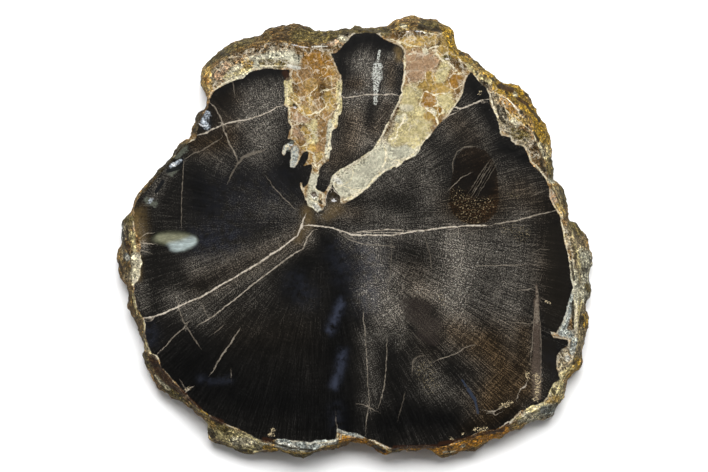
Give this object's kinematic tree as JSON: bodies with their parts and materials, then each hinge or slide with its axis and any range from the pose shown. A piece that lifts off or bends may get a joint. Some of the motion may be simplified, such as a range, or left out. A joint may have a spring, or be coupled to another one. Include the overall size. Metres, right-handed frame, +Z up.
{
  "type": "petrified wood slice",
  "caption": "Thin cross-cut slice of petrified wood with a flat polished face, a natural lumpy rind and a flat sawn back.",
  "frame": {"origin": "middle of the slice's box, on the sawn back it lies on", "axes": "+Z up out of the polished face, +X across the slice's greatest width, +Y towards the edge where the two pale crystalline wedges open"},
  "size_m": [0.1422, 0.1324, 0.0125],
  "materials": {
    "petrified_wood": "polished"
  },
  "bodies": {
    "root": {"petrified_wood_slice": "petrified_wood"}
  },
  "joints": []
}
